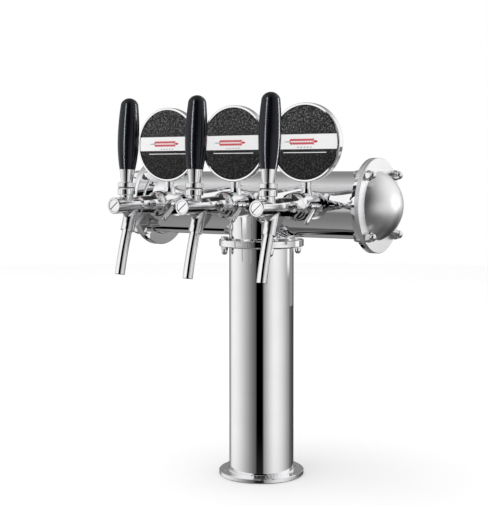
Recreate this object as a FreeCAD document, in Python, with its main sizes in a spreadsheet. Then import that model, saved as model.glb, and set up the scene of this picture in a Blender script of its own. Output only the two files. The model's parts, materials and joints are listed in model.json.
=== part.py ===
import FreeCAD, Part
import Sketcher
import math
import os
from types import SimpleNamespace

# Beer tap tower: a T of polished steel tube that carries three ball-lever taps and three badges.
# Frame: origin at the centre of the base flange's underside, +Z up, +X along the cross tube.
# The taps point along -Y, towards the person who pours.

DIMENSIONS = {
    # tubes of the T
    "tube_radius": 38.1,
    "tube_wall": 2.0,
    "cross_height": 320.0,
    "cross_half_length": 146.0,
    "line_hole_radius": 30.0,
    # base flange
    "base_radius": 50.0,
    "base_thickness": 5.0,
    "base_bore": 34.0,
    "base_hole_radius": 2.75,
    "base_bolt_circle": 44.5,
    # flange joint between column and neck
    "joint_height": 270.0,
    "joint_radius": 50.0,
    "joint_plate": 4.0,
    "joint_gasket_radius": 40.5,
    "joint_thread_engaged": 4.4,
    "joint_bolt_circle": 44.5,
    "joint_bolt_radius": 2.5,
    "joint_bolt_flats": 8.0,
    "joint_nut_neck": 2.0,
    # flange joints at the ends of the cross tube
    "end_radius": 53.0,
    "end_plate": 4.5,
    "end_gasket_radius": 42.5,
    "end_thread_engaged": 5.5,
    "end_bolt_circle": 47.25,
    "end_bolt_radius": 3.0,
    "end_bolt_flats": 10.0,
    "end_nut_neck": 0.6,
    "dome_radius": 38.5,
    "dome_rise": 24.5,
    "gasket_thickness": 1.0,
    "bolt_clearance": 0.3,
    "plate_edge": 0.6,
    "mating_edge": 0.15,
    "washer_thickness": 1.0,
    "washer_gap": 0.2,
    # places of the taps
    "tap_pitch": 93.4,
    # shank through the cross tube wall
    "shank_radius": 8.0,
    "shank_bore": 4.0,
    "shank_back": 20.0,
    "shank_front": 70.5,
    "lock_nut_flats": 24.0,
    "lock_nut_back": 28.0,
    "collar_radius": 15.0,
    "collar_front": 47.0,
    "collar_step": 41.0,
    "collar_root": 33.0,
    "collar_nose_radius": 12.5,
    # product tubes
    "line_radius": 4.0,
    "line_bore": 3.0,
    "line_end_height": 62.0,
    "line_spread": 18.0,
    "line_bend": 14.0,
    "line_socket": 10.0,
    "middle_line_front": 4.0,
    "outer_line_back": 10.0,
    # tap body, distances along the barrel counted from the cross tube's axis
    "bell_back": 68.5,
    "bell_edge": 1.2,
    "bell_radius": 15.8,
    "bell_front": 76.5,
    "shoulder_round": 18.0,
    "shoulder_radius": 13.2,
    "shoulder_front": 85.5,
    "flare_radius": 10.5,
    "flare_round": 28.0,
    "flare_front": 98.0,
    "waist_radius": 9.6,
    "waist_front": 116.0,
    "waist_run": 9.0,
    "waist_round": 60.0,
    "barrel_radius": 9.0,
    "barrel_front": 158.5,
    "barrel_rim": 0.8,
    "piston_radius": 4.95,
    "piston_bore": 5.0,
    "seat_radius": 3.8,
    "seat_back": 101.0,
    "seat_front": 106.0,
    "chamber_radius": 6.5,
    "seal_length": 3.7,
    "seal_gap": 0.9,
    "stem_gap": 1.2,
    "guide_back": 7.0,
    "guide_front": 9.5,
    "slot_waist": 1.4,
    "slot_mouth": 6.0,
    "slot_back_spread": 0.4,
    "slot_front_spread": 2.9,
    "plug_radius": 6.3,
    "plug_gap": 0.35,
    "plug_seat": 152.0,
    "plug_recess": 0.5,
    "plug_slot_width": 1.3,
    "plug_slot_depth": 1.2,
    "plug_slot_turn": 40.0,
    "plug_thread_radius": 5.8,
    "plug_thread_back": 147.0,
    "side_plug_place": 103.0,
    "side_plug_radius": 4.2,
    "side_plug_wall": 1.2,
    "side_plug_floor": 10.4,
    "side_plug_rim": 12.2,
    "side_plug_thickness": 1.4,
    "pin_hole_radius": 0.9,
    "pin_hole_place": 2.2,
    "pin_hole_floor": 0.5,
    "running_gap": 0.3,
    # lever and what it carries, heights counted from the ball's centre along the lever
    "lever_place": 136.0,
    "ball_height": 12.0,
    "ball_radius": 5.0,
    "ball_floor_gap": 0.5,
    "bonnet_radius": 9.8,
    "bonnet_bottom": 11.9,
    "bonnet_shoulder": 18.1,
    "bonnet_edge": 0.5,
    "bonnet_slot_reach": 14.0,
    "boss_radius": 7.5,
    "boss_height": 15.0,
    "boss_blend": 1.5,
    "lever_lean": 3.3,
    "lever_travel": 30.0,
    "rod_top": 45.0,
    "rod_radius": 3.0,
    "lever_ring_radius": 9.9,
    "lever_ring_bottom": 7.9,
    "lever_ring_edge": 0.4,
    "ferrule_bottom": 13.2,
    "ferrule_foot_radius": 6.55,
    "ferrule_head_radius": 8.55,
    "handle_bottom": 27.9,
    "handle_foot_radius": 8.75,
    "handle_belly": 63.0,
    "handle_belly_radius": 12.0,
    "handle_shoulder": 101.5,
    "handle_shoulder_radius": 9.7,
    "handle_top": 108.3,
    "tongue_radius": 2.0,
    "tongue_tip_radius": 2.5,
    "tongue_gap": 0.7,
    "tongue_slot_back": 7.0,
    "tongue_slot_front": 4.0,
    "tongue_slot_height": 8.0,
    # spout and its stub
    "spout_lean": 19.0,
    "spout_turn": 7.0,
    "spout_bend_radius": 409.0,
    "spout_radius": 5.5,
    "spout_bore": 4.5,
    "spout_socket": 8.0,
    "stub_radius": 7.6,
    "stub_mouth_place": 135.0,
    "stub_mouth_drop": 28.5,
    "stub_blend": 5.0,
    "web_thickness": 4.6,
    "web_top": 7.0,
    "web_back": 103.0,
    "web_hollow": 75.0,
    "web_front": 134.0,
    "web_foot": 1.0,
    # flow control on the +X side of each tap
    "flow_place": 77.0,
    "flow_drop": 1.0,
    "gland_radius": 6.3,
    "gland_base": 16.8,
    "gland_end": 20.0,
    "gland_flats": 11.1,
    "spindle_radius": 2.5,
    "spindle_gap": 0.05,
    "spindle_start": 5.0,
    "flow_hub_radius": 4.6,
    "flow_hub_end": 26.0,
    "flow_cap_radius": 3.8,
    "flow_cap_end": 30.0,
    "flow_arm_radius": 2.5,
    "flow_arm_length": 24.5,
    "flow_arm_drop": 37.0,
    "flow_arm_taper": 0.3,
    "crank_throw": 2.0,
    "crank_radius": 1.2,
    "crank_phase": 15.0,
    "crank_start": 2.6,
    "crank_gap": 0.5,
    "cone_flange": 2.6,
    "cone_tail_radius": 4.0,
    "cone_neck_radius": 2.0,
    "cone_tail": 3.8,
    "cone_gap": 0.4,
    "cone_nose_radius": 4.6,
    "cone_length": 4.5,
    # badge
    "badge_height": 69.5,
    "badge_radius": 43.5,
    "badge_face_radius": 41.0,
    "badge_front": 61.2,
    "badge_depth": 10.2,
    "badge_wall": 1.6,
    "badge_stem_place": 55.8,
    "badge_stem_radius": 5.5,
    "badge_stem_sunk": 1.0,
    "stem_flare_foot": 11.0,
    "stem_flare_rise": 8.0,
    "stem_flare_spread": 2.2,
    "badge_collar_radius": 13.5,
    "badge_collar_front": 63.5,
    "badge_recess": 1.8,
    "badge_back_round": 3.0,
    "badge_rim_round": 1.0,
    "badge_face_inset": 0.6,
}

document = FreeCAD.newDocument("BeerTapTower")
sheet = document.addObject("Spreadsheet::Sheet", "Dims")
for row, (alias, number) in enumerate(DIMENSIONS.items(), start=1):
    sheet.set("A%d" % row, str(number))
    sheet.setAlias("A%d" % row, alias)
document.recompute()

pieces = []


class Size:
    """A number that carries the spreadsheet formula it comes from."""

    def __init__(self, value, formula):
        self.value = value
        self.formula = formula

    def __add__(self, other):
        return Size(self.value + value_of(other), "(%s + %s)" % (self.formula, formula_of(other)))

    def __radd__(self, other):
        return self + other

    def __sub__(self, other):
        return Size(self.value - value_of(other), "(%s - %s)" % (self.formula, formula_of(other)))

    def __rsub__(self, other):
        return -self + other

    def __mul__(self, other):
        return Size(self.value * value_of(other), "(%s * %s)" % (self.formula, formula_of(other)))

    def __rmul__(self, other):
        return self * other

    def __truediv__(self, other):
        return Size(self.value / value_of(other), "(%s / %s)" % (self.formula, formula_of(other)))

    def __neg__(self):
        return Size(-self.value, "(0 - %s)" % self.formula)


def value_of(number):
    return number.value if isinstance(number, Size) else number


def formula_of(number):
    return number.formula if isinstance(number, Size) else "(%s)" % repr(number)


def cosine(angle):
    return Size(math.cos(math.radians(value_of(angle))), "cos(%s)" % formula_of(angle))


def sine(angle):
    return Size(math.sin(math.radians(value_of(angle))), "sin(%s)" % formula_of(angle))


def root(number):
    return Size(math.sqrt(value_of(number)), "sqrt(%s)" % formula_of(number))


dim = SimpleNamespace(**{name: Size(number, "Dims." + name) for name, number in DIMENSIONS.items()})

X_AXIS = FreeCAD.Vector(1, 0, 0)
Y_AXIS = FreeCAD.Vector(0, 1, 0)
Z_AXIS = FreeCAD.Vector(0, 0, 1)
QUARTER_ANGLES = (45, 135, 225, 315)


# ---------------------------------------------------------------- placing and binding

def bind(thing, path, size):
    """Sets a property from the sheet, or to a plain number where no size stands behind it."""
    if isinstance(size, Size):
        thing.setExpression(path, size.formula)
    else:
        setattr(thing, path, size)


def place(thing, x=0.0, y=0.0, z=0.0, rotation=None):
    """Puts a piece at a point of the row frame and binds the point to the sheet."""
    base = FreeCAD.Vector(value_of(x), value_of(y), value_of(z))
    thing.Placement = FreeCAD.Placement(base, rotation or FreeCAD.Rotation())
    for axis, size in zip("xyz", (x, y, z)):
        if isinstance(size, Size):
            thing.setExpression("Placement.Base." + axis, size.formula)
    return thing


def finish(thing, label):
    """Gives a finished sub-part the label that names its file."""
    thing.Label = label
    pieces.append(thing)
    return thing


# ---------------------------------------------------------------- part design helpers

def new_body(name):
    return document.addObject("PartDesign::Body", name)


def sketch_on(body, role, offset=0.0, tilt=None, shift=(0.0, 0.0)):
    """A sketch on one of the body's origin planes, moved along its normal and tilted if asked."""
    plane = [item for item in body.Origin.OriginFeatures if item.Role == role][0]
    sketch = body.newObject("Sketcher::SketchObject", body.Name + "_sketch")
    sketch.AttachmentSupport = [(plane, "")]
    sketch.MapMode = "FlatFace"
    base = FreeCAD.Vector(value_of(shift[0]), value_of(shift[1]), value_of(offset))
    sketch.AttachmentOffset = FreeCAD.Placement(base, tilt or FreeCAD.Rotation())
    for axis, size in zip("xyz", (shift[0], shift[1], offset)):
        if isinstance(size, Size):
            sketch.setExpression("AttachmentOffset.Base." + axis, size.formula)
    return sketch


def fix(sketch, constraint, size):
    """Adds one dimension to a sketch and binds it to the sheet."""
    index = sketch.addConstraint(constraint)
    if isinstance(size, Size):
        sketch.setExpression("Constraints[%d]" % index, size.formula)


def arc_between(start, end, radius):
    """An arc from start to end. A positive radius bulges to the right of the way it runs."""
    chord = end - start
    half = chord.Length / 2
    left = FreeCAD.Vector(-chord.y, chord.x, 0).normalize()
    reach = math.sqrt(max(radius * radius - half * half, 0.0))
    bulge = 1 if radius > 0 else -1
    centre = start + chord / 2 + left * reach * bulge
    first, last = (start, end) if radius > 0 else (end, start)
    turn_first = math.atan2(first.y - centre.y, first.x - centre.x)
    turn_last = math.atan2(last.y - centre.y, last.x - centre.x)
    circle = Part.Circle(centre, Z_AXIS, abs(radius))
    return Part.ArcOfCircle(circle, turn_first, turn_last)


def draw(sketch, corners):
    """Draws a closed outline. A corner with a third entry starts an arc of that radius."""
    points = [FreeCAD.Vector(value_of(corner[0]), value_of(corner[1]), 0) for corner in corners]
    sides = []
    for index, corner in enumerate(corners):
        start = points[index]
        end = points[(index + 1) % len(points)]
        if len(corner) == 3:
            side = sketch.addGeometry(arc_between(start, end, value_of(corner[2])), False)
            ends = (1, 2) if value_of(corner[2]) > 0 else (2, 1)
            fix(sketch, Sketcher.Constraint("Radius", side, abs(value_of(corner[2]))), bare(corner[2]))
        else:
            side = sketch.addGeometry(Part.LineSegment(start, end), False)
            ends = (1, 2)
        sides.append((side,) + ends)
    for index, corner in enumerate(corners):
        side, start, _ = sides[index]
        before, _, end = sides[index - 1]
        sketch.addConstraint(Sketcher.Constraint("Coincident", before, end, side, start))
        for kind, size in (("DistanceX", corner[0]), ("DistanceY", corner[1])):
            fix(sketch, Sketcher.Constraint(kind, -1, 1, side, start, float(value_of(size))), size)
    return sketch


def bare(radius):
    """A radius without the sign that tells which way its arc bulges."""
    return radius if value_of(radius) > 0 else -radius


def add_circle(sketch, x, y, radius):
    centre = FreeCAD.Vector(value_of(x), value_of(y), 0)
    index = sketch.addGeometry(Part.Circle(centre, Z_AXIS, value_of(radius)), False)
    fix(sketch, Sketcher.Constraint("DistanceX", -1, 1, index, 3, float(value_of(x))), x)
    fix(sketch, Sketcher.Constraint("DistanceY", -1, 1, index, 3, float(value_of(y))), y)
    fix(sketch, Sketcher.Constraint("Radius", index, float(value_of(radius))), radius)
    return sketch


def feature(body, kind, sketch, **settings):
    """Adds a feature made from a sketch, with its settings bound to the sheet."""
    made = body.newObject("PartDesign::" + kind, body.Name + "_" + kind.lower())
    made.Profile = sketch
    sketch.Visibility = False
    for name, size in settings.items():
        bind(made, name, size)
    document.recompute()
    return made


def revolve(body, corners, kind="Revolution", role="XZ_Plane"):
    """Turns an outline of (radius, height) corners about the body's own Z axis, or cuts it away."""
    sketch = draw(sketch_on(body, role), corners)
    made = body.newObject("PartDesign::" + kind, body.Name + "_" + kind.lower())
    made.Profile = sketch
    made.ReferenceAxis = (sketch, ["V_Axis"])
    made.Angle = 360.0
    document.recompute()
    return made


def repeat_around(body, original, count, role="Z_Axis"):
    """Repeats a feature evenly round one of the body's own axes."""
    axis = [item for item in body.Origin.OriginFeatures if item.Role == role][0]
    pattern = body.newObject("PartDesign::PolarPattern", body.Name + "_pattern")
    pattern.Originals = [original]
    pattern.Axis = (axis, [""])
    pattern.Angle = 360.0
    pattern.Occurrences = count
    body.Tip = pattern
    document.recompute()
    return pattern


# ---------------------------------------------------------------- part helpers

def solid(kind, name, **settings):
    """One Part primitive with its sizes bound to the sheet."""
    made = document.addObject("Part::" + kind, name)
    for prop, size in settings.items():
        bind(made, prop, size)
    return made


def rod(name, radius, length, x=0.0, y=0.0, z=0.0, rotation=None):
    return place(solid("Cylinder", name, Radius=radius, Height=length), x, y, z, rotation)


def hexagon(name, flats, height, z=0.0):
    made = solid("Prism", name, Circumradius=flats / math.sqrt(3), Height=height)
    made.Polygon = 6
    return place(made, z=z)


def fuse(name, parts):
    made = document.addObject("Part::MultiFuse", name)
    made.Shapes = parts
    return made


def cut(name, base, tool):
    made = document.addObject("Part::Cut", name)
    made.Base = base
    made.Tool = tool
    return made


def common(name, parts):
    made = document.addObject("Part::MultiCommon", name)
    made.Shapes = parts
    return made


def group(name, parts):
    """Identical fasteners that share one node, each still a solid of its own."""
    made = document.addObject("Part::Compound", name)
    made.Links = parts
    return made


# ---------------------------------------------------------------- tubes and flanges of the T

tube_bore = dim.tube_radius - dim.tube_wall
neck_bottom = dim.joint_height + 2 * dim.joint_plate
end_cap_start = dim.cross_half_length + dim.end_plate
TURN_TO_X = FreeCAD.Rotation(Y_AXIS, 90)
TURN_TO_MINUS_X = FreeCAD.Rotation(Y_AXIS, -90)
TURN_TO_TAP = FreeCAD.Rotation(X_AXIS, 90)
SIDES = (("left", -1), ("middle", 0), ("right", 1))
ENDS = (("left", -1, TURN_TO_MINUS_X), ("right", 1, TURN_TO_X))


def flange_plate(label, outer, inner, thickness, bolt_circle, hole_radius, low_edge, high_edge, foot=None):
    """A flat ring with bevelled rims and four bolt holes, its underside on the body's XY plane."""
    body = new_body(label)
    revolve(body, (foot or [(inner, 0.0)]) + [
        (outer - low_edge, 0.0),
        (outer, low_edge),
        (outer, thickness - high_edge),
        (outer - high_edge, thickness),
        (inner, thickness),
    ])
    hole = add_circle(sketch_on(body, "XY_Plane"), bolt_circle, 0.0, hole_radius)
    drilled = feature(body, "Pocket", hole, Length=thickness, Reversed=True)
    repeat_around(body, drilled, len(QUARTER_ANGLES))
    return body


def gasket_recess(inner, outer):
    """Outline of a plate's underside with the recess that a gasket lies in."""
    return [(inner, dim.gasket_thickness), (outer, dim.gasket_thickness), (outer, 0.0)]


def flat_gasket(label, outer):
    """A flat sealing ring that fills the recess in the upper of two flanges, inside their bolts."""
    body = new_body(label)
    revolve(body, [
        (tube_bore, 0.0),
        (outer, 0.0),
        (outer, dim.gasket_thickness),
        (tube_bore, dim.gasket_thickness),
    ])
    return body


def make_base():
    flange = flange_plate("base_flange", dim.base_radius, dim.base_bore, dim.base_thickness,
                          dim.base_bolt_circle, dim.base_hole_radius, dim.plate_edge, dim.plate_edge)
    place(flange, rotation=FreeCAD.Rotation(Z_AXIS, 45))
    finish(flange, "base_flange")


def make_column():
    body = new_body("column_tube")
    top = dim.joint_height
    revolve(body, [
        (tube_bore, dim.base_thickness),
        (dim.tube_radius, dim.base_thickness),
        (dim.tube_radius, top),
        (tube_bore, top),
    ])
    finish(body, "column_tube")


def make_joint():
    """Two flanges that touch at their rims, with the gasket in a recess of the upper one."""
    hole = dim.joint_bolt_radius + dim.bolt_clearance
    seam = dim.joint_height + dim.joint_plate
    quarter = FreeCAD.Rotation(Z_AXIS, 45)
    lower = flange_plate("column_flange", dim.joint_radius, tube_bore, dim.joint_plate,
                         dim.joint_bolt_circle, hole, dim.plate_edge, dim.mating_edge)
    finish(place(lower, z=dim.joint_height, rotation=quarter), "column_flange")
    upper = flange_plate("neck_flange", dim.joint_radius, tube_bore, dim.joint_plate,
                         dim.joint_bolt_circle, hole, dim.mating_edge, dim.plate_edge,
                         gasket_recess(tube_bore, dim.joint_gasket_radius))
    finish(place(upper, z=seam, rotation=quarter), "neck_flange")
    finish(place(flat_gasket("neck_gasket", dim.joint_gasket_radius), z=seam), "neck_gasket")


def make_neck():
    """The short tube above the joint, its top coped to saddle the cross tube."""
    height = dim.cross_height - neck_bottom
    outside = rod("neck_outside", dim.tube_radius, height, z=neck_bottom)
    inside = rod("neck_inside", tube_bore, height, z=neck_bottom)
    saddle = rod("neck_saddle", dim.tube_radius, 4 * dim.tube_radius,
                 -2 * dim.tube_radius, 0.0, dim.cross_height, TURN_TO_X)
    tap_hole = rod("neck_tap_hole", dim.shank_radius, 2 * dim.tube_radius,
                   0.0, 0.0, dim.cross_height, TURN_TO_TAP)
    away = fuse("neck_away", [inside, saddle, tap_hole])
    finish(cut("neck_tube", outside, away), "neck_tube")


def make_cross_tube():
    length = 2 * dim.cross_half_length
    outside = rod("cross_outside", dim.tube_radius, length,
                  -dim.cross_half_length, 0.0, dim.cross_height, TURN_TO_X)
    openings = [
        rod("cross_inside", tube_bore, length,
            -dim.cross_half_length, 0.0, dim.cross_height, TURN_TO_X),
        rod("cross_line_hole", dim.line_hole_radius, 2 * dim.tube_radius,
            z=dim.cross_height - 2 * dim.tube_radius),
    ]
    for side, step in SIDES:
        openings.append(rod("cross_tap_hole_" + side, dim.shank_radius, 2 * dim.tube_radius,
                            step * dim.tap_pitch, 0.0, dim.cross_height, TURN_TO_TAP))
    finish(cut("cross_tube", outside, fuse("cross_openings", openings)), "cross_tube")


def make_ends():
    """A welded flange, a gasket and a domed cap on each end of the cross tube."""
    hole = dim.end_bolt_radius + dim.bolt_clearance
    crown = (dim.dome_radius * dim.dome_radius + dim.dome_rise * dim.dome_rise) / (2 * dim.dome_rise)
    inner_crown = crown - dim.tube_wall
    gaskets = []
    for side, step, turn in ENDS:
        turn = turn * FreeCAD.Rotation(Z_AXIS, 45)
        plate = flange_plate("end_flange_" + side, dim.end_radius, tube_bore, dim.end_plate,
                             dim.end_bolt_circle, hole, dim.plate_edge, dim.mating_edge)
        place(plate, step * dim.cross_half_length, 0.0, dim.cross_height, turn)
        finish(plate, "end_flange_" + side)

        gasket = flat_gasket("end_gasket_" + side, dim.end_gasket_radius)
        gaskets.append(place(gasket, step * end_cap_start, 0.0, dim.cross_height, turn))

        cap = new_body("end_cap_" + side)
        rim = dim.end_plate
        inner_foot = root(inner_crown * inner_crown - (crown - dim.dome_rise) * (crown - dim.dome_rise))
        revolve(cap, gasket_recess(inner_foot, dim.end_gasket_radius) + [
            (dim.end_radius - dim.mating_edge, 0.0),
            (dim.end_radius, dim.mating_edge),
            (dim.end_radius, rim - dim.plate_edge),
            (dim.end_radius - dim.plate_edge, rim),
            (dim.dome_radius, rim, crown),
            (0.0, rim + dim.dome_rise),
            (0.0, rim + dim.dome_rise - dim.tube_wall, -inner_crown),
            (inner_foot, rim),
        ])
        drilled = feature(cap, "Pocket",
                          add_circle(sketch_on(cap, "XY_Plane"), dim.end_bolt_circle, 0.0, hole),
                          Length=rim, Reversed=True)
        repeat_around(cap, drilled, len(QUARTER_ANGLES))
        place(cap, step * end_cap_start, 0.0, dim.cross_height, turn)
        finish(cap, "end_cap_" + side)
    finish(group("end_gaskets", gaskets), "end_gaskets")


# ---------------------------------------------------------------- bolts, washers and acorn nuts

# Proportions of heads and nuts: the first to the thread's radius, the others to the flats.
HEAD_HEIGHT = 1.4
NUT_HEIGHT = 0.55
BEVEL_TOP = 0.52
BEVEL_FOOT = 0.62
CAP_RADIUS = 0.46
WASHER_RADIUS = 0.55


def hex_bolt(name, radius, flats, length):
    """Hexagon head below the XY plane, thread above it."""
    head = HEAD_HEIGHT * radius
    blank = hexagon(name + "_head", flats, head, -head)
    bevel = solid("Cone", name + "_bevel", Radius1=BEVEL_TOP * flats, Radius2=BEVEL_FOOT * flats,
                  Height=head)
    place(bevel, z=-head)
    thread = rod(name + "_thread", radius, length)
    return fuse(name, [common(name + "_bevelled", [blank, bevel]), thread])


def acorn_nut(name, radius, flats, neck, thread_length):
    """Hexagon foot on the XY plane with a domed cap, bored for the thread that enters it."""
    foot = NUT_HEIGHT * flats
    dome = CAP_RADIUS * flats
    blank = hexagon(name + "_foot", flats, foot)
    bevel = solid("Cone", name + "_bevel", Radius1=BEVEL_FOOT * flats, Radius2=BEVEL_TOP * flats,
                  Height=foot)
    barrel = rod(name + "_barrel", dome, neck, z=foot)
    ball = place(solid("Sphere", name + "_ball", Radius=dome), z=foot + neck)
    whole = fuse(name + "_whole", [common(name + "_bevelled", [blank, bevel]), barrel, ball])
    return cut(name, whole, rod(name + "_bore", radius, thread_length))


def around(angle, circle):
    """The two coordinates of a bolt at this angle on a bolt circle."""
    return circle * cosine(angle), circle * sine(angle)


def make_joint_fasteners():
    stack = neck_bottom - dim.joint_height
    engaged = dim.joint_thread_engaged
    upside_down = FreeCAD.Rotation(X_AXIS, 180)
    bolts = []
    nuts = []
    for angle in QUARTER_ANGLES:
        x, y = around(angle, dim.joint_bolt_circle)
        bolt = hex_bolt("neck_bolt_%d" % angle, dim.joint_bolt_radius, dim.joint_bolt_flats,
                        stack + engaged)
        bolts.append(place(bolt, x, y, neck_bottom, upside_down))
        nut = acorn_nut("neck_nut_%d" % angle, dim.joint_bolt_radius, dim.joint_bolt_flats,
                        dim.joint_nut_neck, engaged)
        nuts.append(place(nut, x, y, dim.joint_height, upside_down))
    finish(group("neck_bolts", bolts), "neck_bolts")
    finish(group("neck_nuts", nuts), "neck_nuts")


def make_end_fasteners():
    stack = 2 * dim.end_plate
    engaged = dim.end_thread_engaged
    outside = dim.cross_half_length + stack
    bolts = []
    nuts = []
    washers = []
    for side, step, turn in ENDS:
        for angle in QUARTER_ANGLES:
            y, up = around(angle, dim.end_bolt_circle)
            name = "%s_%d" % (side, angle)
            height = dim.cross_height + up
            bolt = hex_bolt("end_bolt_" + name, dim.end_bolt_radius, dim.end_bolt_flats,
                            stack + dim.washer_thickness + engaged)
            bolts.append(place(bolt, step * dim.cross_half_length, y, height, turn))
            nut = acorn_nut("end_nut_" + name, dim.end_bolt_radius, dim.end_bolt_flats,
                            dim.end_nut_neck, engaged)
            nuts.append(place(nut, step * (outside + dim.washer_thickness), y, height, turn))
            disc = rod("end_washer_disc_" + name, WASHER_RADIUS * dim.end_bolt_flats,
                       dim.washer_thickness)
            hole = rod("end_washer_hole_" + name, dim.end_bolt_radius + dim.washer_gap,
                       dim.washer_thickness)
            washer = cut("end_washer_" + name, disc, hole)
            washers.append(place(washer, step * outside, y, height, turn))
    finish(group("end_bolts", bolts), "end_bolts")
    finish(group("end_nuts", nuts), "end_nuts")
    finish(group("end_washers", washers), "end_washers")


# ---------------------------------------------------------------- shanks and product tubes

def make_shanks():
    """Threaded shanks, their saddle collars outside and their lock nuts inside the cross tube."""
    shanks = []
    collars = []
    nuts = []
    for side, step in SIDES:
        x = step * dim.tap_pitch
        pipe = rod("shank_pipe_" + side, dim.shank_radius, dim.shank_front - dim.shank_back,
                   z=dim.shank_back)
        bore = rod("shank_bore_" + side, dim.shank_bore, dim.shank_front - dim.shank_back,
                   z=dim.shank_back)
        shank = cut("shank_" + side, pipe, bore)
        shanks.append(place(shank, x, 0.0, dim.cross_height, TURN_TO_TAP))

        base = rod("collar_base_" + side, dim.collar_radius, dim.collar_step - dim.collar_root,
                   x, -dim.collar_root, dim.cross_height, TURN_TO_TAP)
        nose = rod("collar_nose_" + side, dim.collar_nose_radius, dim.collar_front - dim.collar_root,
                   x, -dim.collar_root, dim.cross_height, TURN_TO_TAP)
        hole = rod("collar_hole_" + side, dim.shank_radius, dim.collar_front,
                   x, 0.0, dim.cross_height, TURN_TO_TAP)
        saddle = rod("collar_saddle_" + side, dim.tube_radius, 4 * dim.collar_radius,
                     x - 2 * dim.collar_radius, 0.0, dim.cross_height, TURN_TO_X)
        neck = rod("collar_neck_" + side, dim.tube_radius, dim.cross_height - neck_bottom,
                   z=neck_bottom)
        collars.append(cut("shank_collar_" + side, fuse("collar_" + side, [base, nose]),
                           fuse("collar_away_" + side, [hole, saddle, neck])))

        blank = hexagon("lock_nut_blank_" + side, dim.lock_nut_flats, dim.collar_front)
        place(blank, x, -dim.lock_nut_back, dim.cross_height, TURN_TO_TAP)
        wall = rod("lock_nut_wall_" + side, tube_bore, 4 * dim.collar_radius,
                   x - 2 * dim.collar_radius, 0.0, dim.cross_height, TURN_TO_X)
        thread = rod("lock_nut_thread_" + side, dim.shank_radius, dim.collar_front,
                     x, 0.0, dim.cross_height, TURN_TO_TAP)
        nuts.append(cut("lock_nut_" + side, common("lock_nut_hex_" + side, [blank, wall]), thread))
    finish(group("shanks", shanks), "shanks")
    finish(group("shank_collars", collars), "shank_collars")
    finish(group("shank_lock_nuts", nuts), "shank_lock_nuts")


def bent_tube(corners, bend, radius, bore):
    """A tube along straight runs that meet at right angles, each corner rounded to the bend."""
    edges = []
    start = corners[0]
    for before, corner, after in zip(corners, corners[1:], corners[2:]):
        back = (before - corner).normalize()
        ahead = (after - corner).normalize()
        entry = corner + back * bend
        leave = corner + ahead * bend
        centre = entry + ahead * bend
        middle = centre + (corner - centre).normalize() * bend
        edges.append(Part.LineSegment(start, entry).toShape())
        edges.append(Part.Arc(entry, middle, leave).toShape())
        start = leave
    edges.append(Part.LineSegment(start, corners[-1]).toShape())
    path = Part.Wire(edges)
    direction = (corners[1] - corners[0]).normalize()
    walls = []
    for size in (radius, bore):
        ring = Part.Wire([Part.makeCircle(size, corners[0], direction)])
        walls.append(path.makePipeShell([ring], True, True))
    print("product tube bends %.0f mm, length %.0f mm" % (bend, path.Length))
    return walls[0].cut(walls[1])


def make_product_tubes():
    """Rigid steel tubes from the shanks to the foot of the column, where the cellar lines join."""
    height = DIMENSIONS["cross_height"]
    start = -DIMENSIONS["shank_back"] - DIMENSIONS["line_socket"]
    foot = DIMENSIONS["line_end_height"]
    spread = DIMENSIONS["line_spread"]
    tubes = []
    for side, step in SIDES:
        x = step * DIMENSIONS["tap_pitch"]
        drop_x = step * spread
        depth = DIMENSIONS["outer_line_back"] if step else -DIMENSIONS["middle_line_front"]
        corners = [FreeCAD.Vector(x, start, height), FreeCAD.Vector(x, depth, height)]
        if step:
            corners.append(FreeCAD.Vector(drop_x, depth, height))
        corners.append(FreeCAD.Vector(drop_x, depth, foot))
        tube = document.addObject("Part::Feature", "product_tube_" + side)
        tube.Shape = bent_tube(corners, DIMENSIONS["line_bend"], DIMENSIONS["line_radius"],
                               DIMENSIONS["line_bore"])
        tubes.append(tube)
    finish(group("product_tubes", tubes), "product_tubes")


# ---------------------------------------------------------------- taps
# A tap's own frame has X along the cross tube, Y up and Z forward along the barrel, with its
# origin on the cross tube's axis, so a height is a Y and a distance from the tube is a Z.

stub_length = dim.stub_mouth_drop / cosine(dim.spout_lean)
stub_start = dim.stub_mouth_place - stub_length * sine(dim.spout_lean)
STUB_TURN = FreeCAD.Rotation(X_AXIS, 90 - DIMENSIONS["spout_lean"])


def at_tap(thing, step):
    """Moves a piece made in a tap's frame onto its place on the cross tube."""
    return place(thing, step * dim.tap_pitch, 0.0, dim.cross_height, TURN_TO_TAP)


def edges_between(shape, heights, distances):
    """Names of the curved edges whose middle lies between two heights and two distances."""
    names = []
    for number, edge in enumerate(shape.Edges, start=1):
        middle = edge.valueAt((edge.FirstParameter + edge.LastParameter) / 2)
        inside = heights[0] < middle.y < heights[1] and distances[0] < middle.z < distances[1]
        if inside and edge.Curve.TypeId == "Part::GeomBSplineCurve":
            names.append("Edge%d" % number)
    return names


def blend(body, base, radius, heights, distances):
    """Rounds the casting where two of its bosses meet."""
    made = body.newObject("PartDesign::Fillet", body.Name + "_blend")
    made.Base = (base, edges_between(base.Shape, heights, distances))
    bind(made, "Radius", radius)
    body.Tip = made
    document.recompute()
    return made


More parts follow.
